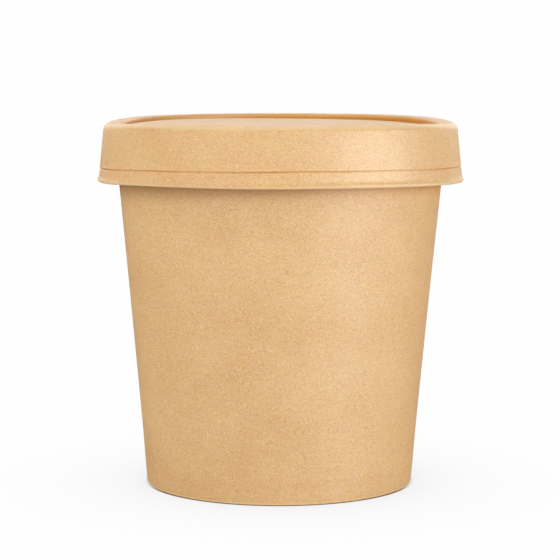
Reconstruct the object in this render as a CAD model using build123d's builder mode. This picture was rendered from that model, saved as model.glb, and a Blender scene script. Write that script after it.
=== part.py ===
from build123d import *
from math import cos, degrees, radians, sin, tan
import os

# A paper tub for ice cream with its press-on lid, in four pieces of kraft paperboard.
# The tub's wall is a rolled cone with a curled rim, a lapped side seam and a folded foot.
# The tub's bottom is a disc whose turned-down skirt is held in the foot's fold.
# The lid's ring is one strip, bent over the tub's rim, lapped at its ends and folded at both edges.
# The lid's disc closes its middle, with a turned-down skirt held in the ring's inner fold.
# Millimetres, +Z up, the origin at the middle of the foot, the front towards -Y.

# Sizes of the tub's wall
wall_board = 0.45
foot_radius = 37.15  # outer face, carried down its slope to the table
wall_lean = 5.3  # degrees outwards
tub_height = 101.3  # from the table to the top of the curled rim
curl_radius = 1.35  # outside of the curled rim
curl_turn = 295  # degrees that the rim is rolled through
foot_bend = 0.06  # inside radius of the foot's two corners
fold_gap = 0.06  # air between layers that are pressed together
lap_share = 0.9  # of the board's thickness that is left where it is pressed and glued in a lap
wall_lap = 8.0  # width of the glued side seam
wall_seam_angle = 70  # degrees from +X, at the back

# Sizes of the tub's bottom
bottom_board = 0.45
bottom_recess = 7.0  # from the table to the disc's underside
bottom_bend = 0.75  # inside radius where the disc turns down
bottom_skirt_gap = 1.1  # between the skirt's edge and the foot's fold
foot_hem_gap = 0.6  # between the foot's hem and the disc's underside

# Sizes of the lid's ring
lid_board = 0.45
seat_gap = 0.1  # between the tub's rim and the lid that rests on it
rim_clearance = 0.18  # between the side of the curled rim and the lid's band
band_height = 16.1  # from the lid's top to its lower edge
band_lean = 6.2  # degrees outwards, going down
shoulder_bend = 1.55  # inside radius between the lid's top and its band
crease_height = 4.4  # above the lower edge, where the band's inner hem ends
crease_depth = 0.14  # how far the board is pressed in there
crease_length = 0.25  # of the crease's upper side
crease_return = 0.35  # length of the crease's lower side
crease_step = 0.05  # how far in the band stays under the crease
lip_flare = 2.0  # degrees that the band leans further under the crease
lip_kick = 23  # degrees that the board bends outwards above the lip's fold
lip_bend = 3.0  # radius of that bend
band_hem_drop = 0.3  # between the crease and the inner hem's edge
band_hem_gap = 0.1  # between the band and its hem
recess_bend = 0.45  # inside radius between the lid's top and its recess
plug_clearance = 0.85  # between the plug's foot and the tub's inner face
plug_depth = 8.1  # from the lid's top to the foot of the plug
band_lap = 8.0  # width of the strip's glued ends
band_lap_gap = 0.6  # between the lap's cut foot and the bend above the lip
band_seam_angle = 125  # degrees from +X, at the back

# Sizes of the lid's disc
disc_board = 0.45
disc_recess = 1.3  # from the lid's top to the disc
disc_bend = 0.3  # inside radius where the disc turns down
disc_skirt_gap = 1.6  # between the skirt's edge and the plug's fold
plug_hem_gap = 1.3  # between the plug's hem and the disc's underside

wall_slope = radians(wall_lean)
band_slope = radians(band_lean)
lip_slope = radians(band_lean + lip_flare)
kick = radians(lip_kick)


def wall_point(depth, height):
    """A point of the wall's section: how deep inside its outer face, and how high above the table."""
    return foot_radius + height * tan(wall_slope) - depth / cos(wall_slope), height


class Overlap:
    """Where a lapped seam is drawn and turned, so that it rises by one board from flush to its cut edge."""

    def __init__(self, angle, width, radius, board):
        outwards = Vector(cos(radians(angle)), sin(radians(angle)))
        up = Vector(0, 0, 1)
        shift = board / sin(width / radius)
        self.sink = shift**2 / (2 * radius)
        self.turn = degrees(width / radius)
        self.axis = Axis(up.cross(outwards) * shift, up)
        self.plane = Plane(self.axis.position, x_dir=outwards, z_dir=outwards.cross(up))


# Tub wall: the board's middle line goes down the hem, across the sole, up the side and round the curl.
layers = wall_board + bottom_board + 2 * fold_gap
hem_depth = wall_board / 2 + layers
sole_height = wall_board / 2
foot_line = foot_bend + wall_board / 2
side_start = wall_point(wall_board / 2, sole_height + foot_line * (1 - sin(wall_slope)))
curl_line = curl_radius - wall_board / 2
curl_height = tub_height - curl_radius
lap_foot = sole_height + foot_line
lap_top = curl_height - curl_radius - fold_gap
wall_overlap = Overlap(wall_seam_angle, wall_lap, foot_radius, wall_board)

with BuildPart() as tub_wall:
    with BuildSketch(Plane.XZ):
        with BuildLine():
            hem = Line(
                wall_point(hem_depth, bottom_recess - foot_hem_gap),
                wall_point(hem_depth, sole_height + foot_line * (1 + sin(wall_slope))),
            )
            inner_turn = JernArc(hem @ 1, hem % 1, foot_line, 90 + wall_lean)
            sole = Line(inner_turn @ 1, (side_start[0] - foot_line * cos(wall_slope), sole_height))
            JernArc(sole @ 1, sole % 1, foot_line, 90 - wall_lean)
            side_end = wall_point(wall_board / 2, curl_height + curl_line * sin(wall_slope))
            side = Line(side_start, side_end)
            JernArc(side @ 1, side % 1, curl_line, -curl_turn)
        trace(line_width=wall_board)
    revolve(axis=Axis.Z)
    with BuildSketch(wall_overlap.plane):
        with BuildLine():
            Polyline(
                wall_point(wall_overlap.sink, lap_foot),
                wall_point(wall_overlap.sink, lap_top),
                wall_point(lap_share * wall_board, lap_top),
                wall_point(lap_share * wall_board, lap_foot),
                close=True,
            )
        make_face()
    revolve(axis=wall_overlap.axis, revolution_arc=wall_overlap.turn)

# Tub bottom: a flat disc, a round bend and a skirt that lies between the wall and its hem.
skirt_depth = wall_board + fold_gap + bottom_board / 2
bottom_line = bottom_bend + bottom_board / 2
bottom_height = bottom_recess + bottom_board / 2

with BuildPart() as tub_bottom:
    with BuildSketch(Plane.XZ):
        with BuildLine():
            bend_centre = wall_point(skirt_depth + bottom_line, bottom_height - bottom_line)
            flat = Line((0, bottom_height), (bend_centre[0], bottom_height))
            bend = JernArc(flat @ 1, flat % 1, bottom_line, -(90 + wall_lean))
            Line(bend @ 1, wall_point(skirt_depth, wall_board + bottom_skirt_gap))
        trace(line_width=bottom_board)
    revolve(axis=Axis.Z)

# Lid ring: the strip's middle line goes down the plug's hem, round its foot, up the recess, over the rim
# and the shoulder, down the band with its crease, and round the lip into the band's hem.
lid_top = tub_height + seat_gap + lid_board
disc_underside = lid_top - disc_recess - disc_board
plug_foot = lid_top - plug_depth
plug_line = wall_point(wall_board, plug_foot)[0] - plug_clearance - lid_board / 2
plug_fold = (lid_board + disc_board) / 2 + fold_gap
recess_line = recess_bend + lid_board / 2
curl_side = wall_point(wall_board / 2 - curl_line, curl_height)[0] + curl_radius
shoulder_line = shoulder_bend + lid_board / 2
shoulder_radius = curl_side + rim_clearance - shoulder_bend
shoulder_height = lid_top - lid_board - shoulder_bend


def band_point(height):
    """A point of the band's middle line above the crease."""
    reach = shoulder_line / cos(band_slope) + (shoulder_height - height) * tan(band_slope)
    return shoulder_radius + reach, height


lip_height = lid_top - band_height
lip_fold = (lid_board + band_hem_gap + lip_bend * (1 - cos(kick))) / (1 + cos(kick))
kick_drop = (lip_bend + lip_fold) * sin(kick)
kick_reach = lip_bend * (1 - cos(kick)) - lip_fold * cos(kick)
kick_height = lip_height + lid_board / 2 + lip_fold + kick_drop * cos(lip_slope) - kick_reach * sin(lip_slope)
band_start = band_point(shoulder_height + shoulder_line * sin(band_slope))
crease_top = band_point(lip_height + crease_height)
crease_middle = (crease_top[0] - crease_depth, crease_top[1] - crease_length)
crease_foot = (crease_top[0] - crease_step, crease_middle[1] - crease_return)
kick_start = (crease_foot[0] + (crease_foot[1] - kick_height) * tan(lip_slope), kick_height)
band_lap_foot = (kick_start[0] - band_lap_gap * tan(lip_slope), kick_height + band_lap_gap)
band_overlap = Overlap(band_seam_angle, band_lap, band_start[0], lid_board)

with BuildPart() as lid_ring:
    with BuildSketch(Plane.XZ):
        with BuildLine():
            inner_hem = Line(
                (plug_line - 2 * plug_fold, disc_underside - plug_hem_gap),
                (plug_line - 2 * plug_fold, plug_foot + lid_board / 2 + plug_fold),
            )
            plug_turn = JernArc(inner_hem @ 1, inner_hem % 1, plug_fold, 180)
            plug_side = Line(plug_turn @ 1, (plug_line, lid_top - lid_board / 2 - recess_line))
            recess_turn = JernArc(plug_side @ 1, plug_side % 1, recess_line, -90)
            rim = Line(recess_turn @ 1, (shoulder_radius, lid_top - lid_board / 2))
            JernArc(rim @ 1, rim % 1, shoulder_line, -(90 - band_lean))
            Polyline(band_start, crease_top, crease_middle, crease_foot)
            lower_band = Line(crease_foot, kick_start)
            lip = JernArc(lower_band @ 1, lower_band % 1, lip_bend, lip_kick)
            lip_turn = JernArc(lip @ 1, lip % 1, lip_fold, -(180 + lip_kick))
            hem_length = (crease_foot[1] - band_hem_drop - (lip_turn @ 1).Y) / cos(lip_slope)
            Line(lip_turn @ 1, lip_turn @ 1 + lip_turn % 1 * hem_length)
        trace(line_width=lid_board)
    revolve(axis=Axis.Z)
    with BuildSketch(band_overlap.plane):
        band = [band_start, crease_top, crease_middle, crease_foot, band_lap_foot]
        outer = lid_board / 2 - band_overlap.sink
        inner = (1 / 2 - lap_share) * lid_board
        with BuildLine():
            Polyline(
                *[(radius + outer, height) for radius, height in band],
                *[(radius + inner, height) for radius, height in reversed(band)],
                close=True,
            )
        make_face()
    revolve(axis=band_overlap.axis, revolution_arc=band_overlap.turn)

# Lid disc: flat, with a round bend and a skirt that lies between the plug's side and its hem.
disc_line = disc_bend + disc_board / 2
disc_height = disc_underside + disc_board / 2
disc_skirt_line = plug_line - lid_board / 2 - fold_gap - disc_board / 2

with BuildPart() as lid_disc:
    with BuildSketch(Plane.XZ):
        with BuildLine():
            flat = Line((0, disc_height), (disc_skirt_line - disc_line, disc_height))
            bend = JernArc(flat @ 1, flat % 1, disc_line, -90)
            Line(bend @ 1, (disc_skirt_line, plug_foot + lid_board + disc_skirt_gap))
        trace(line_width=disc_board)
    revolve(axis=Axis.Z)

os.makedirs("parts", exist_ok=True)
tub_wall.part.label = "tub_wall"
tub_bottom.part.label = "tub_bottom"
lid_ring.part.label = "lid_ring"
lid_disc.part.label = "lid_disc"
export_step(tub_wall.part, "parts/tub_wall.step")
export_step(tub_bottom.part, "parts/tub_bottom.step")
export_step(lid_ring.part, "parts/lid_ring.step")
export_step(lid_disc.part, "parts/lid_disc.step")
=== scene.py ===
# A paper tub for ice cream with its press-on lid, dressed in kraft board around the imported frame.
# Metres, +Z up along the tub's axis, the front towards -Y, the glued seams at the back.
import math

import bmesh
import bpy
import numpy as np
from mathutils import Matrix, Vector


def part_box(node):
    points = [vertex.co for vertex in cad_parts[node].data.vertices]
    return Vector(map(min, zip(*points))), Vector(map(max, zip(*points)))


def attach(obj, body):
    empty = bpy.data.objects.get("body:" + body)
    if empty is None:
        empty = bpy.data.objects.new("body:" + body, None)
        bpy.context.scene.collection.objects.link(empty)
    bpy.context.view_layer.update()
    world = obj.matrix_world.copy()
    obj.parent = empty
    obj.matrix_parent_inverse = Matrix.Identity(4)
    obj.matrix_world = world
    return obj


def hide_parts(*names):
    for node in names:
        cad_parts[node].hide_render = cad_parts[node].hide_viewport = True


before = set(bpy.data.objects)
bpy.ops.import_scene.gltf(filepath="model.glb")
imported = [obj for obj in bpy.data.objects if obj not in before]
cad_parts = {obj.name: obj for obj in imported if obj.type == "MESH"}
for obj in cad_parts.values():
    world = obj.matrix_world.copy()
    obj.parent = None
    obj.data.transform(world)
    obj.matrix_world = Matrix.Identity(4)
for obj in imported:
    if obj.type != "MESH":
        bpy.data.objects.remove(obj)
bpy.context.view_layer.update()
mm = 0.001

# Camera
# A long lens in front of the tub, a little above the lid and looking slightly down, so that the
# lid's recess shows as a thin sliver and the tub's sides converge only as much as they taper.
camera_distance = 617.06 * mm
camera_height = 123.58 * mm
camera_side = 0.28 * mm
camera_pitch = 6.19  # degrees down
focal_share = 2207.25 / 560  # the focal length, in widths of the frame
sensor_width = 36
nearest_seen = 10 * mm
farthest_seen = 100

camera_data = bpy.data.cameras.new("camera")
camera_data.sensor_width = sensor_width
camera_data.lens = focal_share * sensor_width
camera_data.clip_start = nearest_seen
camera_data.clip_end = farthest_seen
camera = bpy.data.objects.new("camera", camera_data)
camera.location = (camera_side, -camera_distance, camera_height)
camera.rotation_euler = (math.radians(90 - camera_pitch), 0, 0)
bpy.context.scene.collection.objects.link(camera)
bpy.context.scene.camera = camera

# Tub wall
# One sheet of kraft board, rolled to a cone and lapped down the back, film side in. Its top edge is
# curled outwards into the rim. Its foot is folded in and up, and pressed flat round the bottom's skirt.
board = 0.45 * mm
fold_gap = 0.06 * mm  # air between layers that are pressed together
foot_radius = 37.15 * mm
wall_lean = 5.3  # degrees outwards
wall_slope = math.radians(wall_lean)
tub_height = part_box("tub_wall")[1].z
curl_radius = 1.35 * mm
curl_turn = 295  # degrees that the rim is rolled through
foot_bend = 0.06 * mm
bottom_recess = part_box("tub_bottom")[1].z - board
foot_hem_gap = 0.6 * mm
wall_seam_angle = 70  # degrees from +X
side_start = 8.1 * mm  # along the sheet, past the foot's two corners

# The lap, and how finely the sheet is drawn round the axis
lap_width = 8 * mm
lap_rise = 7 * mm  # over which the outer layer lifts off the inner one
lap_groove = 0.03 * mm / foot_radius  # radians beside the lap's cut edge
lapped_share = 0.95  # of its thickness that each layer keeps
pressed_share = 0.5  # and that it keeps in the folds beyond the lap
wall_lap_fade = 2.7 * mm
sheet_rings = 316
lap_rings = 24
sharp_angle = 38  # degrees
merge_distance = 0.0001 * mm
printed, filmed, cut = range(3)  # the faces of the board, by their material's place

# How this tub departs from an exact cone
rim_dip = 0.78 * mm  # at the far left and right
dip_power = 6
dip_lead = 1.1  # how much more of the dip lies towards the front
rim_rise = 0.12 * mm  # at the back
rim_lean = 0.42 * mm  # to the right
wall_hollow = 0.12 * mm
board_swell = 0.09 * mm
foot_flare = 0.15 * mm
flare_height = 15 * mm
side_lead = 2 * mm
wave_gain = 1.6  # brings the sum of the waves to about 1
wall_waves = (2, 3, 4, 5), 3  # how often each wave comes round the axis, and the seed of their places


def wall_radius(depth, height):
    """Radius of a point of the tub's wall, from its depth inside the outer face and its height."""
    return foot_radius + height * math.tan(wall_slope) - depth / math.cos(wall_slope)


class Strip:
    """The middle line of a bent strip of board, laid out in the plane of radius and height."""

    def __init__(self, radius, height, heading, print_side):
        self.points = [(radius, height)]
        self.headings = [heading]
        self.print_side = print_side  # 1 for the left of the way it runs, -1 for the right

    def run(self, length, steps):
        """Goes straight on."""
        heading = math.radians(self.headings[-1])
        radius, height = self.points[-1]
        for step in range(1, steps + 1):
            reach = length * step / steps
            self.points.append((radius + reach * math.cos(heading), height + reach * math.sin(heading)))
            self.headings.append(self.headings[-1])

    def to_height(self, height, steps=1):
        """Goes straight on until it reaches a height."""
        self.run((height - self.points[-1][1]) / math.sin(math.radians(self.headings[-1])), steps)

    def to_radius(self, radius, steps=1):
        """Goes straight on until it reaches a radius."""
        self.run((radius - self.points[-1][0]) / math.cos(math.radians(self.headings[-1])), steps)

    def bend(self, radius, turn, steps):
        """Turns left through an angle on an arc, or right where the angle is negative."""
        start = math.radians(self.headings[-1])
        from_radius, from_height = self.points[-1]
        arm = math.copysign(radius, turn)
        for step in range(1, steps + 1):
            heading = start + math.radians(turn) * step / steps
            across = from_radius + arm * (math.sin(heading) - math.sin(start))
            self.points.append((across, from_height - arm * (math.cos(heading) - math.cos(start))))
            self.headings.append(math.degrees(heading))

    def fold(self, turn):
        """Turns left on the spot."""
        self.headings[-1] += turn

    def lengths(self):
        """How far along the strip each point lies."""
        steps = np.linalg.norm(np.diff(np.array(self.points), axis=0), axis=1)
        return np.concatenate([[0], np.cumsum(steps)])

    def print_normals(self):
        """The direction in which the printed side faces at each point."""
        angles = np.radians(np.array(self.headings) + 90 * self.print_side)
        return np.stack([np.cos(angles), np.sin(angles)], axis=1)


def ease(values):
    """0 up to 0, 1 from 1 on, and a smooth rise between."""
    values = np.clip(values, 0, 1)
    return values * values * (3 - 2 * values)


def swell(values, middle, width):
    """1 at the middle, and a smooth fall to 0 on both sides."""
    return np.exp(-(((values - middle) / width) ** 2))


def wave(angles, harmonics, seed):
    """A gentle unevenness that closes on itself round the axis, between about -1 and 1."""
    phases = np.random.RandomState(seed).uniform(0, 2 * math.pi, len(harmonics))
    weights = 1 / np.sqrt(np.array(harmonics, float))
    total = sum(w * np.sin(h * angles + p) for w, h, p in zip(weights, harmonics, phases))
    return total / weights.sum() * wave_gain


def board_mesh(name, rings, closed, face_kinds):
    """A smooth mesh from rings of points that each run down one face of the board and back up the other."""
    count, around = rings.shape[:2]
    half = around // 2
    last = count if closed else count - 1
    faces, kinds = [], []
    for i in range(last):
        for j in range(around - (1 if closed else 0)):
            here, there = i * around, (i + 1) % count * around
            beside = (j + 1) % around
            faces.append((here + j, there + j, there + beside, here + beside))
            kinds.append(cut if j in (half - 1, around - 1) else face_kinds[j >= half])
    if not closed:
        for end in (0, (count - 1) * around):
            for j in range(half - 1):
                faces.append((end + j, end + j + 1, end + around - 2 - j, end + around - 1 - j))
                kinds.append(cut)
    mesh = bpy.data.meshes.new(name)
    mesh.from_pydata(rings.reshape(-1, 3).tolist(), [], faces)
    mesh.polygons.foreach_set("material_index", kinds)
    edit = bmesh.new()
    edit.from_mesh(mesh)
    bmesh.ops.remove_doubles(edit, verts=edit.verts, dist=merge_distance)
    bmesh.ops.recalc_face_normals(edit, faces=edit.faces)
    edit.to_mesh(mesh)
    edit.free()
    mesh.polygons.foreach_set("use_smooth", [True] * len(mesh.polygons))
    mesh.set_sharp_from_angle(angle=math.radians(sharp_angle))
    piece = bpy.data.objects.new(name, mesh)
    bpy.context.scene.collection.objects.link(piece)
    return piece


def turned(radii, heights, angles):
    """Points in space from radii and heights, one row for each angle."""
    return np.stack([radii * np.cos(angles)[:, None], radii * np.sin(angles)[:, None], heights], axis=2)


def lapped_layers(lengths, first, last, first_fade, last_fade):
    """How much of its thickness each layer of a lap keeps, along a strip lapped between two places."""
    lapped = ease((lengths - first) / first_fade) * ease((last - lengths) / last_fade)
    return pressed_share + (lapped_share - pressed_share) * lapped


def rolled_sheet(name, strip, layer_share, seam_angle, radius, shape):
    """One sheet rolled round the axis, its end lapped over its start and both pressed thinner."""
    start, lap, rise = math.radians(seam_angle), lap_width / radius, lap_rise / radius
    lapped = np.linspace(0, lap, lap_rings)
    open_part = np.linspace(lap + lap_groove, 2 * math.pi + lap, sheet_rings)
    angles = start + np.concatenate([lapped, open_part])
    under = (np.arange(len(angles)) < lap_rings).astype(float)[:, None]
    over = ease((angles - start - 2 * math.pi + rise) / rise)[:, None]
    thickness = board * (1 - (1 - layer_share) * np.maximum(under, over))
    shift = board * (layer_share * over - (1 - layer_share) / 2 * (under + over))
    points = np.array(strip.points)
    facing = strip.print_normals()
    outwards, upwards = shape(angles[:, None], strip.lengths()[None, :])
    sides = []
    for side in (0.5, -0.5):
        reach = shift + side * thickness
        radii = points[:, 0] + outwards + reach * facing[:, 0]
        heights = points[:, 1] + upwards + reach * facing[:, 1]
        sides.append(turned(radii, heights, angles))
    rings = np.concatenate([sides[0], sides[1][:, ::-1]], axis=1)
    return board_mesh(name, rings, closed=False, face_kinds=(printed, filmed))


layers = 2 * (board + fold_gap)
foot_line = foot_bend + board / 2
curl_line = curl_radius - board / 2
curl_height = tub_height - curl_radius
hem_top = bottom_recess - foot_hem_gap
side_foot = board / 2 + foot_line * (1 - math.sin(wall_slope))
wall = Strip(wall_radius(layers + board / 2, hem_top), hem_top, -90 - wall_lean, print_side=-1)
wall.to_height(board / 2 + foot_line * (1 + math.sin(wall_slope)), steps=5)
wall.bend(foot_line, 90 + wall_lean, steps=6)
wall.to_radius(wall_radius(board / 2, side_foot) - foot_line * math.cos(wall_slope))
wall.bend(foot_line, 90 - wall_lean, steps=6)
wall.to_height(curl_height + curl_line * math.sin(wall_slope), steps=44)
side_length = wall.lengths()[-1]
wall.bend(curl_line, -curl_turn, steps=26)
wall_share = lapped_layers(wall.lengths(), side_start, side_length, wall_lap_fade, wall_lap_fade)


def at_sides(angles):
    """1 at the far left and right, and a smooth fall to 0 at the front and the back."""
    return np.cos(angles) ** dip_power


def uneven_rim(angles):
    """How far the rim, and the lid on it, lie above an exact circle."""
    return rim_rise * ease(np.sin(angles)) - rim_dip * at_sides(angles) * (1 - dip_lead * np.sin(angles))


def wall_shape(angles, lengths):
    """The wall's hollow, bulges, flare and lean above its stiff foot, and the unevenness of its rim."""
    share = np.clip(lengths / side_length, 0, 1)
    outwards = np.sin(share * math.pi) * (board_swell * wave(angles, *wall_waves) - wall_hollow)
    on_side = ease((lengths - side_start) / side_lead + 1)
    outwards = outwards + foot_flare * on_side * (1 - ease((lengths - side_start) / flare_height))
    outwards = outwards + rim_lean * np.cos(angles) * on_side * share
    return outwards, uneven_rim(angles) * ease(2 * share - 1)


tub_wall = rolled_sheet("rolled_wall", wall, wall_share, wall_seam_angle, foot_radius, wall_shape)

# The board's colours, and the scale in waves per metre, detail and roughness of each noise in it
kraft_colours = {
    "Dark": (0.57, 0.227, 0.04, 1),
    "Middle": (0.78, 0.47, 0.195, 1),
    "Pale": (0.93, 0.68, 0.36, 1),
}
kraft_tint = (0.18, 0.3, 0.8)
grain_noise = (3500, 1, 0.6)
speckle_noise = (1400, 1, 0.5)
mottle_noise = (420, 2, 0.5)
cloud_noise = (75, 3, 0.5)
hue_noise = (750, 3, 0.8)
speckle_share = 0.12
mottle_share = 0.07
speckle_height = 0.6
mottle_height = 0.8
fibre_height = 0.25
speckle_roughness = 0.2
bump_depth = 0.03 * mm

# Its fibres and flecks
stir_noise = (420, 2, 0.5)
stir_reach = (1.6 * mm,) * 3
fibre_layers = ((0.35, 900, 0.0), (-0.5, 1100, 0.3), (1.2, 1000, 0.7))  # turn, waves per metre, shift
fibre_detail = (1, 0.5)  # detail and roughness of the noise whose ridges they follow
fibre_stretch = (0.16, 1, 1)
fibre_width = 0.035
fleck_stretch = (0.55, 1, 1)
fleck_cells = 175  # per metre
fleck_reach = 0.075  # of a cell, at most
fleck_edge = (0.5, 1.0)
fleck_choice = (0.55, 0.6)

# Painted shade where the board is closed in or pinched in a fold, and painted highlights on its folds
white = (1, 1, 1, 1)
warm_shade = (0.82, 0.5, 0.0, 1)
pinched_shade = (0.3, 0.18, 0.08, 1)
shelter_reach = 7 * mm
shelter_samples = 6
shelter_open = (1.0, 0.55)
shelter_heights = (3 * mm, 9 * mm)
pinched_open = (0.3, 0.05)
pinched_heights = (0.5 * mm, 1.5 * mm)
foot_highlight_heights = (0.8 * mm, 0.25 * mm)
highlight_share = 0.8

# The finish of each kind of face
board_specular = 1.0
board_ior = 1.7
sheen_roughness = 0.5
coat_roughness = 0.3
kraft_face = {
    "roughness": 0.5,
    "bump": 0.25,
    "strengths": {"Grain": 2.55, "Fibres": 0.15, "Clouds": 0.6, "Flecks": 0.3},
}
film_face = {
    "roughness": 0.32,
    "bump": 0.12,
    "coat": 0.25,
    "strengths": {"Grain": 1.4, "Fibres": 0.15, "Clouds": 0.6, "Flecks": 0.3},
}
cut_edge = {
    "roughness": 0.8,
    "bump": 0.6,
    "sheen": 0.1,
    "strengths": {"Grain": 0.7, "Fibres": 0.3, "Clouds": 0.3, "Flecks": 0.0},
}


def add_node(tree, kind, values=None, **settings):
    """Adds a shader node with its settings and its inputs, which are values or other nodes' outputs."""
    made = tree.nodes.new(kind)
    for name, setting in settings.items():
        setattr(made, name, setting)
    for name, value in (values or {}).items():
        if isinstance(value, bpy.types.NodeSocket):
            tree.links.new(value, made.inputs[name])
        else:
            made.inputs[name].default_value = value
    return made


def maths(tree, operation, *values):
    """The result of one sum on numbers or other nodes' outputs."""
    return add_node(tree, "ShaderNodeMath", dict(enumerate(values)), operation=operation).outputs[0]


def vector_maths(tree, operation, *values):
    """The result of one sum on colours, vectors or other nodes' outputs."""
    return add_node(tree, "ShaderNodeVectorMath", dict(enumerate(values)), operation=operation).outputs[0]


def between(tree, value, low, high):
    """0 at the low value, 1 at the high one, and a smooth rise between. High may lie below low."""
    rise = {"Value": value, "From Min": low, "From Max": high}
    return add_node(tree, "ShaderNodeMapRange", rise, interpolation_type="SMOOTHSTEP").outputs[0]


def blend(tree, share, first, second):
    """A colour between two colours, from a share of the second."""
    factor, colour_a, colour_b, colour = 0, 6, 7, 2  # the node's sockets for a mix of colours
    values = {factor: share, colour_a: first, colour_b: second}
    return add_node(tree, "ShaderNodeMix", values, data_type="RGBA").outputs[colour]


def noise_values(place, scale, detail, roughness):
    """The inputs of a noise texture."""
    return {"Vector": place, "Scale": scale, "Detail": detail, "Roughness": roughness}


def cloudy(tree, place, *noise):
    """Noise about 0, between about -0.5 and 0.5."""
    clouds = add_node(tree, "ShaderNodeTexNoise", noise_values(place, *noise)).outputs["Fac"]
    return maths(tree, "SUBTRACT", clouds, 0.5)


def cloudy_colour(tree, place, *noise):
    """Noise about 0 in three channels."""
    clouds = add_node(tree, "ShaderNodeTexNoise", noise_values(place, *noise)).outputs["Color"]
    return vector_maths(tree, "SUBTRACT", clouds, (0.5,) * 3)


def openness(tree, reach, samples):
    """1 where nothing lies near a point of the surface, down to 0 where it is closed in."""
    return add_node(tree, "ShaderNodeAmbientOcclusion", {"Distance": reach}, samples=samples).outputs["AO"]


def object_axes(tree):
    """The three coordinates of a point on its object."""
    here = add_node(tree, "ShaderNodeTexCoord").outputs["Object"]
    return add_node(tree, "ShaderNodeSeparateXYZ", {"Vector": here}).outputs


def new_group(name, inputs, outputs):
    """An empty node group with its named sockets, its input node and its output node."""
    group = bpy.data.node_groups.new(name, "ShaderNodeTree")
    for socket, kind in inputs.items():
        group.interface.new_socket(socket, in_out="INPUT", socket_type="NodeSocket" + kind)
    for socket, kind in outputs.items():
        group.interface.new_socket(socket, in_out="OUTPUT", socket_type="NodeSocket" + kind)
    return group, add_node(group, "NodeGroupInput").outputs, add_node(group, "NodeGroupOutput")


def finish_group(group, output, values):
    """Joins values to a group's outputs."""
    for name, value in values.items():
        group.links.new(value, output.inputs[name])
    return group


def sheet_place_group():
    """Where a point lies on a rolled sheet laid flat again, from its place on the object."""
    group, given, output = new_group("sheet_place", {"Seam": "Float", "Radius": "Float"}, {"Place": "Vector"})
    here = add_node(group, "ShaderNodeTexCoord").outputs["Object"]
    back = {"Vector": here, "Angle": maths(group, "SUBTRACT", math.pi, given["Seam"])}
    turned_back = add_node(group, "ShaderNodeVectorRotate", back, rotation_type="Z_AXIS").outputs[0]
    axes = add_node(group, "ShaderNodeSeparateXYZ", {"Vector": turned_back}).outputs
    around = maths(group, "MULTIPLY", maths(group, "ARCTAN2", axes["Y"], axes["X"]), given["Radius"])
    squares = [maths(group, "MULTIPLY", axes[name], axes[name]) for name in "XY"]
    radius = maths(group, "SQRT", maths(group, "ADD", *squares))
    place = add_node(group, "ShaderNodeCombineXYZ", {"X": around, "Y": axes["Z"], "Z": radius}).outputs[0]
    return finish_group(group, output, {"Place": place})


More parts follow.
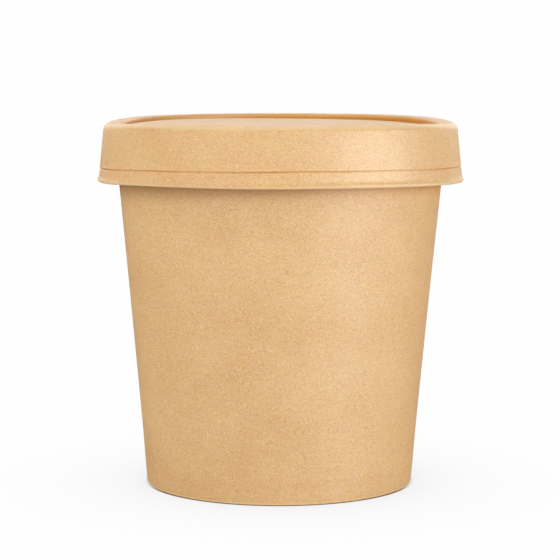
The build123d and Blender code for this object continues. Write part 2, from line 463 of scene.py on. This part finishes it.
def kraft_fibres_group():
    """Uncoated kraft board with painted highlights and shade: fine grain, clouding, pale and brown fibres, a
    few dark flecks.
    """
    group, given, output = new_group(
        "kraft_fibres",
        {"Place": "Vector", "Dark": "Color", "Middle": "Color", "Pale": "Color", "Tint": "Vector"}
        | {"Grain": "Float", "Fibres": "Float", "Clouds": "Float", "Flecks": "Float", "Roughness": "Float"}
        | {"Painted_Highlight": "Float", "Shade": "Color"},
        {"Color": "Color", "Roughness": "Float", "Height": "Float"},
    )
    place = given["Place"]
    curly = vector_maths(group, "MULTIPLY_ADD", cloudy_colour(group, place, *stir_noise), stir_reach, place)

    grain = cloudy(group, place, *grain_noise)
    speckle = cloudy(group, place, *speckle_noise)
    mottle = cloudy(group, place, *mottle_noise)
    fibres = []
    for turn, scale, shift in fibre_layers:
        way = {"Vector": curly, "Location": (shift, 0, 0), "Rotation": (0, 0, turn), "Scale": fibre_stretch}
        laid = add_node(group, "ShaderNodeMapping", way).outputs[0]
        ridge = maths(group, "ABSOLUTE", cloudy(group, laid, scale, *fibre_detail))
        fibres.append(maths(group, "SUBTRACT", 1, between(group, ridge, 0.0, fibre_width)))
    pale_fibres = maths(group, "MAXIMUM", fibres[0], fibres[1])
    brown_fibres = fibres[2]
    stretched = add_node(group, "ShaderNodeMapping", {"Vector": curly, "Scale": fleck_stretch}).outputs[0]
    cell = add_node(group, "ShaderNodeTexVoronoi", {"Vector": stretched, "Scale": fleck_cells}).outputs
    chosen = add_node(group, "ShaderNodeSeparateColor", {"Color": cell["Color"]}).outputs
    fleck_size = maths(group, "MULTIPLY", fleck_reach, chosen["Green"])
    off_fleck = between(group, maths(group, "DIVIDE", cell["Distance"], fleck_size), *fleck_edge)
    on_fleck = maths(group, "SUBTRACT", 1, off_fleck)
    flecks = maths(group, "MULTIPLY", on_fleck, between(group, chosen["Red"], *fleck_choice))

    tone = maths(group, "MULTIPLY", grain, given["Grain"])
    for part, share in ((speckle, speckle_share), (mottle, mottle_share)):
        tone = maths(group, "MULTIPLY_ADD", part, maths(group, "MULTIPLY", given["Grain"], share), tone)
    tone = maths(group, "MULTIPLY_ADD", cloudy(group, place, *cloud_noise), given["Clouds"], tone)
    tone = maths(group, "MULTIPLY_ADD", pale_fibres, given["Fibres"], tone)
    for part, strength in ((brown_fibres, "Fibres"), (flecks, "Flecks")):
        tone = maths(group, "MULTIPLY_ADD", part, maths(group, "MULTIPLY", given[strength], -1.0), tone)
    darker = blend(group, maths(group, "MULTIPLY", tone, -1.0), given["Middle"], given["Dark"])
    coloured = blend(group, tone, darker, given["Pale"])
    hues = cloudy_colour(group, place, *hue_noise)
    tinted = vector_maths(group, "MULTIPLY_ADD", hues, given["Tint"], (1.0,) * 3)
    mottled = vector_maths(group, "MULTIPLY", coloured, tinted)
    # Painted highlights on folds and the shoulder, then the painted shade over all
    highlighted = blend(group, maths(group, "MULTIPLY", given["Painted_Highlight"], highlight_share), mottled, given["Pale"])
    colour = vector_maths(group, "MULTIPLY", highlighted, given["Shade"])
    roughness = maths(group, "MULTIPLY_ADD", speckle, speckle_roughness, given["Roughness"])
    height = grain
    for part, share in ((mottle, mottle_height), (speckle, speckle_height), (pale_fibres, fibre_height)):
        height = maths(group, "MULTIPLY_ADD", part, share, height)
    return finish_group(group, output, {"Color": colour, "Roughness": roughness, "Height": height})


def add_group(tree, group, values):
    """Places a node group with its inputs, and gives its outputs."""
    return add_node(tree, "ShaderNodeGroup", values, node_tree=group).outputs


def kraft_material(name, rolled, strengths, roughness, bump, coat=0.0, sheen=0.0, painted_highlight=None):
    """One face of the board. Rolled is the seam's angle and a radius, or None on a flat disc."""
    made = bpy.data.materials.new(name)
    made.use_nodes = True
    tree = made.node_tree
    if rolled:
        seam_angle, radius = rolled
        laid_flat = {"Seam": math.radians(seam_angle), "Radius": radius}
        place = add_group(tree, sheet_place, laid_flat)["Place"]
    else:
        place = add_node(tree, "ShaderNodeTexCoord").outputs["Object"]
    axes = object_axes(tree)
    # Painted shade: darker, warmer colour where the board is closed in, and darker still where a fold pinches
    # it
    open_way = openness(tree, shelter_reach, shelter_samples)
    off_floor = between(tree, axes["Z"], *shelter_heights)
    sheltered_shade = maths(tree, "MULTIPLY", between(tree, open_way, *shelter_open), off_floor)
    off_sole = between(tree, axes["Z"], *pinched_heights)
    pinched_fold_shade = maths(tree, "MULTIPLY", between(tree, open_way, *pinched_open), off_sole)
    shade = blend(tree, pinched_fold_shade, blend(tree, sheltered_shade, white, warm_shade), pinched_shade)
    inputs = {"Place": place, "Tint": kraft_tint, "Roughness": roughness, "Shade": shade}
    inputs["Painted_Highlight"] = painted_highlight(tree, axes) if painted_highlight else 0.0
    fibres = add_group(tree, kraft_fibres, inputs | kraft_colours | strengths)
    height = {"Height": fibres["Height"], "Strength": bump, "Distance": bump_depth}
    surface = tree.nodes["Principled BSDF"].inputs
    tree.links.new(fibres["Color"], surface["Base Color"])
    tree.links.new(fibres["Roughness"], surface["Roughness"])
    tree.links.new(add_node(tree, "ShaderNodeBump", height).outputs[0], surface["Normal"])
    surface["Specular IOR Level"].default_value = board_specular
    surface["IOR"].default_value = board_ior
    surface["Sheen Weight"].default_value = sheen
    surface["Sheen Roughness"].default_value = sheen_roughness
    surface["Coat Weight"].default_value = coat
    surface["Coat Roughness"].default_value = coat_roughness
    return made


def foot_highlight(tree, axes):
    """A painted highlight on the foot's outer fold."""
    return between(tree, axes["Z"], *foot_highlight_heights)


def dress(piece, *materials):
    """Gives a piece its print face, film face and cut edge."""
    for material in materials:
        piece.data.materials.append(material)


sheet_place = sheet_place_group()
kraft_fibres = kraft_fibres_group()
wall_rolled = (wall_seam_angle, foot_radius)
dress(
    tub_wall,
    kraft_material("kraft_wall_outside", wall_rolled, **kraft_face, painted_highlight=foot_highlight),
    kraft_material("film_wall_inside", wall_rolled, **film_face),
    kraft_material("kraft_wall_cut_edge", wall_rolled, **cut_edge),
)
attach(tub_wall, "tub")
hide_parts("tub_wall")

# Tub bottom
# A disc of the same board, film side up, pressed down at its edge into a skirt.
# The skirt is glued between the wall and the hem that the foot folds up inside it.
bottom_bend = 0.75 * mm
bottom_skirt_gap = 1.1 * mm
bottom_dome = 0.12 * mm
disc_swell = 0.05 * mm
disc_harmonics = (1, 2, 3)
bottom_seed = 5
disc_rings = 240


def pressed_disc(name, strip, shape, face_kinds):
    """A disc with a skirt, turned round the axis from its middle outwards."""
    angles = np.linspace(0, 2 * math.pi, disc_rings, endpoint=False)
    points = np.array(strip.points)
    facing = strip.print_normals()
    upwards = shape(angles[:, None], points[None, :, 0])
    sides = []
    for side in (board / 2, -board / 2):
        radii = np.tile(points[:, 0] + side * facing[:, 0], (disc_rings, 1))
        sides.append(turned(radii, points[:, 1] + upwards + side * facing[:, 1], angles))
    rings = np.concatenate([sides[0], sides[1][:, ::-1]], axis=1)
    return board_mesh(name, rings, closed=True, face_kinds=face_kinds)


def domed(angles, share, height, seed):
    """A disc's slight dome and its unevenness, from the share of its radius, and none of it at the edge."""
    free = np.clip(1 - share**2, 0, 1)
    return free * (height + disc_swell * wave(angles, disc_harmonics, seed) * share)


bottom_line = bottom_bend + board / 2
bottom_height = bottom_recess + board / 2
skirt_depth = board + fold_gap + board / 2
bend_radius = wall_radius(skirt_depth + bottom_line, bottom_height - bottom_line)
bottom = Strip(0, bottom_height, 0, print_side=1)
bottom.to_radius(bend_radius, steps=24)
bottom.bend(bottom_line, -(90 + wall_lean), steps=10)
bottom.to_height(board + bottom_skirt_gap, steps=4)


def bottom_shape(angles, radii):
    """The bottom's slight dome."""
    return domed(angles, radii / bend_radius, bottom_dome, bottom_seed)


tub_bottom = pressed_disc("pressed_bottom", bottom, bottom_shape, face_kinds=(filmed, printed))
dress(
    tub_bottom,
    kraft_material("kraft_bottom_underside", None, **kraft_face),
    kraft_material("film_bottom_inside", None, **film_face),
    kraft_material("kraft_bottom_cut_edge", None, **cut_edge),
)
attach(tub_bottom, "tub")
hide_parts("tub_bottom")

# Lid ring
# One strip of kraft board, bent over the tub's rim and lapped at the back. Inside, it turns down to the
# plug and folds up round the disc's skirt. Outside, its band is creased above a lip folded in and up.
lid_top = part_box("lid_ring")[1].z
lid_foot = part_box("lid_ring")[0].z
disc_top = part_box("lid_disc")[1].z
rim_clearance = 0.18 * mm
plug_clearance = 0.85 * mm
plug_depth = 8.1 * mm
plug_hem_gap = 1.3 * mm
recess_bend = 0.45 * mm
shoulder_bend = 1.55 * mm
band_lean = 6.2  # degrees outwards, going down
crease_height = 4.4 * mm
lip_flare = 2.0  # degrees that the band leans further under the crease
lip_kick = 23  # degrees that the board bends outwards above the lip's fold
lip_bend = 3.0 * mm
band_hem_gap = 0.1 * mm
band_hem_drop = 0.9 * mm  # from the crease to the inner hem's edge
band_seam_angle = 125  # degrees from +X
band_lap_fade = 2.25 * mm
lip_lap_fade = 1.35 * mm
lap_lead = 2  # steps from the lap's foot to the lip's bend

# The crease pressed in round the band, from its start, and where it is deeper, fainter or out of place.
# The places round the lid are angles and widths in radians.
crease_lead = 0.3 * mm
crease_run = 0.9 * mm
crease_depth = 0.18 * mm
crease_middle = 0.25 * mm
crease_width = 0.14 * mm
crease_step = 0.115 * mm
crease_step_length = 0.45 * mm
crease_ridge = 0.05 * mm
ridge_middle = -0.2 * mm
ridge_width = 0.25 * mm
crease_unevenness = 0.3
crease_depth_waves = (4, 7, 11, 17), 12
crease_fading = 0.6
faded_place = (5.15, 0.38)
crease_sink = 0.08 * mm
crease_wander = 0.06 * mm
crease_place_waves = (3, 5, 8, 13, 21), 11
front_rise = 0.2 * mm
front_place = (4.83, 0.4)
side_sink = 0.15 * mm
left_side_sink = 0.14 * mm
left_sink = 0.13 * mm
lip_drop = 0.2 * mm
right_lip_drop = 0.25 * mm
right_place = (5.5, 0.35)
lip_swell = 0.05 * mm
lip_waves = (2, 4, 7, 12), 14
band_waves = (2, 3, 5), 13

# Painted highlights on the lip and the shoulder: above the lip, and below the lid's top
lip_highlight_heights = (0.7 * mm, 0.2 * mm)
lip_highlight = 0.75
shoulder_highlight_foot = (1.5 * mm, 0.75 * mm)
shoulder_highlight_top = (0.15 * mm, 0.5 * mm)
shoulder_highlight = 0.9
lid_film_face = film_face | {"roughness": 0.4, "coat": 0.15}

plug_foot = lid_top - plug_depth
plug_fold = board + fold_gap
plug_line = wall_radius(board, plug_foot) - plug_clearance - board / 2
recess_line = recess_bend + board / 2
shoulder_line = shoulder_bend + board / 2
curl_side = wall_radius(board / 2 - curl_line, curl_height) + curl_radius
shoulder_radius = curl_side + rim_clearance - shoulder_bend
kick = math.radians(lip_kick)
lip_slope = math.radians(band_lean + lip_flare)
lip_fold = (board + band_hem_gap + lip_bend * (1 - math.cos(kick))) / (1 + math.cos(kick))
kick_drop = (lip_bend + lip_fold) * math.sin(kick) * math.cos(lip_slope)
kick_reach = (lip_bend * (1 - math.cos(kick)) - lip_fold * math.cos(kick)) * math.sin(lip_slope)

ring = Strip(plug_line - 2 * plug_fold, disc_top - board - plug_hem_gap, -90, print_side=1)
ring.to_height(plug_foot + board / 2 + plug_fold, steps=3)
ring.bend(plug_fold, 180, steps=14)
ring.to_height(lid_top - board / 2 - recess_line, steps=6)
ring.bend(recess_line, -90, steps=10)
ring.to_radius(shoulder_radius, steps=3)
ring.bend(shoulder_line, -(90 - band_lean), steps=14)
band_top = len(ring.points)
ring.to_height(lid_foot + crease_height + crease_lead, steps=8)
ring.to_height(lid_foot + crease_height, steps=5)
crease_place = ring.lengths()[-1]
ring.fold(lip_flare)
ring.run(crease_run, steps=18)
ring.to_height(lid_foot + board / 2 + lip_fold + kick_drop - kick_reach, steps=4)
lap_foot = len(ring.points) - 1 - lap_lead
ring.bend(lip_bend, lip_kick, steps=6)
ring.bend(lip_fold, -(180 + lip_kick), steps=16)
ring.to_height(lid_foot + crease_height - band_hem_drop, steps=5)

ring_lengths = ring.lengths()
band_start = ring_lengths[band_top]
ring_share = lapped_layers(ring_lengths, band_start, ring_lengths[lap_foot], band_lap_fade, lip_lap_fade)


def ring_shape(angles, lengths):
    """The strip's slight unevenness, and the crease pressed in round its band."""
    to_left = -np.cos(angles)
    shift = crease_sink - front_rise * swell(angles, *front_place) + left_sink * to_left
    shift = shift + (side_sink + left_side_sink * to_left) * at_sides(angles)
    shift = shift + crease_wander * wave(angles, *crease_place_waves)
    unevenness = crease_unevenness * wave(angles, *crease_depth_waves)
    depth = crease_depth * (1 + unevenness - crease_fading * swell(angles, *faded_place))
    past = lengths - crease_place - shift
    crease = depth * swell(past, crease_middle, crease_width) + crease_step * ease(past / crease_step_length)
    ridge = crease_ridge * swell(past, ridge_middle, ridge_width)
    loose = ease((lengths - band_start) / (ring_lengths[-1] - band_start))
    drop = lip_drop + right_lip_drop * swell(angles, *right_place)
    outwards = board_swell * loose * wave(angles, *band_waves) - crease + ridge
    upwards = loose * (lip_swell * wave(angles, *lip_waves) - drop) + uneven_rim(angles)
    return outwards, upwards


def lid_highlights(tree, axes):
    """Painted highlights on the lid's shoulder and the fold of its lip, followed down where the lid dips."""
    to_side = maths(tree, "COSINE", maths(tree, "ARCTAN2", axes["Y"], axes["X"]))
    beside = maths(tree, "POWER", maths(tree, "ABSOLUTE", to_side), dip_power)
    level = maths(tree, "MULTIPLY_ADD", beside, rim_dip, axes["Z"])
    lip = between(tree, level, *[lid_foot - lip_drop + rise for rise in lip_highlight_heights])
    foot, top = [
        between(tree, level, *[lid_top - drop for drop in drops])
        for drops in (shoulder_highlight_foot, shoulder_highlight_top)
    ]
    shoulder_highlight_strength = maths(tree, "MULTIPLY_ADD", beside, -1.0, shoulder_highlight)
    shoulder = maths(tree, "MULTIPLY", maths(tree, "MULTIPLY", foot, top), shoulder_highlight_strength)
    return maths(tree, "MAXIMUM", maths(tree, "MULTIPLY", lip, lip_highlight), shoulder)


lid_ring = rolled_sheet("folded_ring", ring, ring_share, band_seam_angle, curl_side, ring_shape)
lid_ring.data.transform(Matrix.Translation((rim_lean, 0, 0)))
ring_rolled = (band_seam_angle, curl_side)
dress(
    lid_ring,
    kraft_material("kraft_ring_outside", ring_rolled, **kraft_face, painted_highlight=lid_highlights),
    kraft_material("film_ring_inside", ring_rolled, **lid_film_face),
    kraft_material("kraft_ring_cut_edge", ring_rolled, **cut_edge),
)
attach(lid_ring, "lid")
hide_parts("lid_ring")

# Lid disc
# A second disc of board, kraft side up, set a little below the ring's raised rim.
# Its skirt is glued between the ring's plug and the hem that the plug folds up inside it.
disc_bend = 0.3 * mm
disc_skirt_gap = 1.6 * mm
disc_dome = 0.1 * mm
disc_tilt = 0.28 * mm  # down to the right
disc_dip_power = 4
disc_seed = 15

disc_line = disc_bend + board / 2
disc_skirt_radius = plug_line - board - fold_gap
disc = Strip(0, disc_top - board / 2, 0, print_side=1)
disc.to_radius(disc_skirt_radius - disc_line, steps=28)
disc.bend(disc_line, -90, steps=8)
disc.to_height(plug_foot + board + disc_skirt_gap, steps=4)


def disc_shape(angles, radii):
    """The disc's slight dome, the tilt at which it was glued in, and its dip with the ring's."""
    share = radii / disc_skirt_radius
    tilt = disc_tilt * np.cos(angles) * share
    dip = rim_dip * at_sides(angles) * share**disc_dip_power
    return domed(angles, share, disc_dome, disc_seed) - tilt - dip


lid_disc = pressed_disc("pressed_lid_disc", disc, disc_shape, face_kinds=(printed, filmed))
lid_disc.data.transform(Matrix.Translation((rim_lean, 0, 0)))
dress(
    lid_disc,
    kraft_material("kraft_disc_top", None, **kraft_face),
    kraft_material("film_disc_underside", None, **lid_film_face),
    kraft_material("kraft_disc_cut_edge", None, **cut_edge),
)
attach(lid_disc, "lid")
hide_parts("lid_disc")

# Floor and light
# A white floor that runs on into a white backdrop, with a broad soft box at the right front for the
# highlight, four behind that draw the edges, and soft fills that light the board but don't shine on it.
floor_size = 8.0
floor_albedo = (0.95, 0.95, 0.95, 1)
floor_roughness = 0.6
backdrop_white = 0.995
ambient = 0.22
shade_reach = 90 * mm
shade_samples = 32
shade_depth = 0.48
# Painted contact shadow: a brown line on the floor round the tub's foot, fainter at its sides
contact_shadow_brown = (0.24, 0.12, 0.05, 1)
contact_reach = 1.1 * mm
contact_samples = 16
contact_open = (0.88, 0.6)
contact_fade = (4 * mm, 22 * mm)  # from the tub's middle towards the front and the back
contact_at_side = 0.2  # the share of the contact line that is left there
light_distance = 1.2
light_aim = 50 * mm

# Name, azimuth from the front round to the right, elevation, width, height and watts of each soft box
shining_boxes = (
    ("key", 57, 7, 1.05, 0.5, 7.4),
    ("rear", 180, 20, 1.0, 0.7, 1.9),
    ("rim_right", 150, 20, 0.7, 0.7, 3.3),
    ("rim_left", -150, 20, 0.7, 0.7, 2.6),
    ("rim_top", 180, 55, 0.7, 0.5, 4.0),
)
fill_boxes = (
    ("fill_front_left", -33, 25, 0.7, 0.7, 4.95),
    ("fill_high_left", -60, 45, 0.7, 0.7, 2.3),
    ("fill_left", -90, 25, 0.7, 0.7, 2.1),
    ("fill_top", 0, 60, 0.7, 0.7, 0.4),
    ("fill_front", 10, 8, 0.7, 0.7, 1.65),
    ("fill_right", 95, 15, 0.7, 0.7, 1.0),
)


def soft_box(name, azimuth, elevation, width, height, watts):
    """A lit panel that faces the tub."""
    around, up = math.radians(azimuth), math.radians(elevation)
    way = Vector((math.sin(around) * math.cos(up), -math.cos(around) * math.cos(up), math.sin(up)))
    panel = bpy.data.lights.new(name, "AREA")
    panel.shape = "RECTANGLE"
    panel.size, panel.size_y = width, height
    panel.energy = watts
    box = bpy.data.objects.new(name, panel)
    box.location = Vector((0, 0, light_aim)) + way * light_distance
    box.rotation_euler = way.to_track_quat("Z", "Y").to_euler()
    box.visible_camera = False
    bpy.context.scene.collection.objects.link(box)
    return box


for light in shining_boxes:
    soft_box(*light)
for light in fill_boxes:
    soft_box(*light).visible_glossy = False

floor_mesh = bpy.data.meshes.new("floor")
floor_corners = [(x * floor_size, y * floor_size, 0) for x, y in ((-1, -1), (1, -1), (1, 1), (-1, 1))]
floor_mesh.from_pydata(floor_corners, [], [(0, 1, 2, 3)])
floor = bpy.data.objects.new("floor", floor_mesh)
bpy.context.scene.collection.objects.link(floor)
floor_material = bpy.data.materials.new("white_floor")
floor_material.use_nodes = True
floor_tree = floor_material.node_tree
floor_surface = floor_tree.nodes["Principled BSDF"]
floor_surface.inputs["Base Color"].default_value = floor_albedo
floor_surface.inputs["Roughness"].default_value = floor_roughness

# Seen by the camera the floor is backdrop white, with a painted shadow near the tub and a painted brown one
# at its foot
covered = maths(floor_tree, "SUBTRACT", 1.0, openness(floor_tree, shade_reach, shade_samples))
shaded = maths(floor_tree, "MULTIPLY", maths(floor_tree, "MULTIPLY", covered, covered), shade_depth)
brightness = maths(floor_tree, "SUBTRACT", backdrop_white, shaded)
off_middle = maths(floor_tree, "ABSOLUTE", object_axes(floor_tree)["Y"])
towards_front = between(floor_tree, off_middle, *contact_fade)
contact = maths(floor_tree, "MULTIPLY_ADD", towards_front, 1 - contact_at_side, contact_at_side)
near_foot = between(floor_tree, openness(floor_tree, contact_reach, contact_samples), *contact_open)
contact_shadow_tint = blend(floor_tree, maths(floor_tree, "MULTIPLY", near_foot, contact), white, contact_shadow_brown)
seen_white = add_node(floor_tree, "ShaderNodeEmission", {"Color": contact_shadow_tint, "Strength": brightness}).outputs[0]
seen = add_node(floor_tree, "ShaderNodeLightPath").outputs["Is Camera Ray"]
either = {0: seen, 1: floor_surface.outputs[0], 2: seen_white}
floor_mix = add_node(floor_tree, "ShaderNodeMixShader", either).outputs[0]
floor_tree.links.new(floor_mix, floor_tree.nodes["Material Output"].inputs["Surface"])
floor_mesh.materials.append(floor_material)
floor.visible_glossy = False

world = bpy.data.worlds.new("studio")
bpy.context.scene.world = world
world.use_nodes = True
world_tree = world.node_tree
backdrop = world_tree.nodes["Background"]
backdrop.inputs["Color"].default_value = white
looked_at = add_node(world_tree, "ShaderNodeLightPath").outputs["Is Camera Ray"]
strength = maths(world_tree, "MULTIPLY_ADD", looked_at, backdrop_white - ambient, ambient)
world_tree.links.new(strength, backdrop.inputs["Strength"])
world.cycles_visibility.glossy = False
bpy.context.scene.view_settings.view_transform = "Standard"
